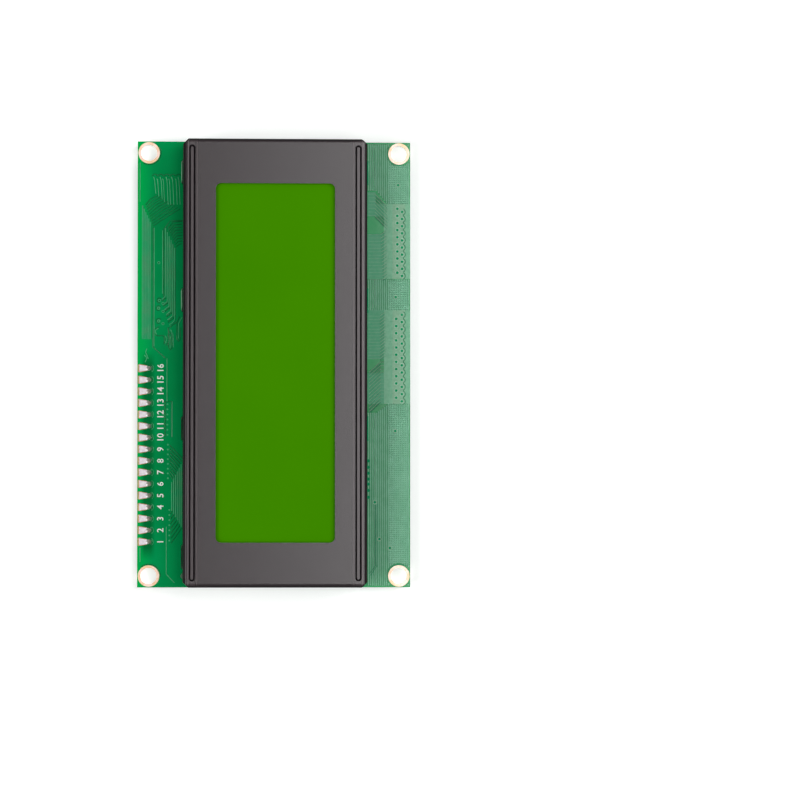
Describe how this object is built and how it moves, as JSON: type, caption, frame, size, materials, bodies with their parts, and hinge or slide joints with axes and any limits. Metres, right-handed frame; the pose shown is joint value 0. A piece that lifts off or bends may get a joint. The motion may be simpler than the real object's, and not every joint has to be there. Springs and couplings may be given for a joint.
{
  "type": "character lcd module",
  "caption": "Flat character display module: green board with edge lands, black folded metal bezel with a long window, and round epoxy-covered chips on its back.",
  "frame": {"origin": "centre of the board's outline in X and Y, at the level of the free ends of the bezel's tabs on the back, where the module rests", "axes": "+X along a line of characters, +Y towards the connector edge, +Z out of the display face"},
  "size_m": [0.098, 0.06, 0.0131],
  "materials": {
    "board": "glass-fibre board under green solder mask",
    "land": "gold-plated copper",
    "bezel_black": "black satin coated steel",
    "display_green": "yellow-green polariser film over the unlit cell",
    "cell_glass": "clear float glass",
    "seal": "cured clear adhesive",
    "white_plastic": "white moulded plastic",
    "white_film": "diffusing film",
    "led": "clear resin over light-emitting chips",
    "rubber": "layered conductive rubber",
    "epoxy": "cured black epoxy",
    "silicon": "silicon die",
    "solder": "bright solder",
    "wire": "tinned copper",
    "ceramic": "black glazed ceramic"
  },
  "bodies": {
    "root": {"backlight_lead_negative": "wire", "backlight_lead_positive": "wire", "backlight_tray": "white_plastic", "bezel": "bezel_black", "cell_end_seal": "seal", "circuit_board": "board", "component_lands": "land", "connector_lands": "land", "diffuser_film": "white_film", "driver_dies": "silicon", "epoxy_dome_1": "epoxy", "epoxy_dome_2": "epoxy", "epoxy_dome_3": "epoxy", "epoxy_dome_4": "epoxy", "epoxy_dome_5": "epoxy", "fixing_lands": "land", "front_glass": "cell_glass", "front_polariser": "display_green", "lead_solder_negative": "solder", "lead_solder_positive": "solder", "led_board": "white_plastic", "led_chips": "led", "rear_glass": "cell_glass", "rear_polariser": "display_green", "resistor_body_1": "ceramic", "resistor_body_2": "ceramic", "resistor_body_3": "ceramic", "resistor_body_4": "ceramic", "resistor_body_5": "ceramic", "resistor_body_6": "ceramic", "resistor_body_7": "ceramic", "resistor_body_8": "ceramic", "resistor_ends_1": "solder", "resistor_ends_2": "solder", "resistor_ends_3": "solder", "resistor_ends_4": "solder", "resistor_ends_5": "solder", "resistor_ends_6": "solder", "resistor_ends_7": "solder", "resistor_ends_8": "solder", "rubber_strip_lower": "rubber", "rubber_strip_upper": "rubber", "tab_lands": "land"}
  },
  "joints": []
}
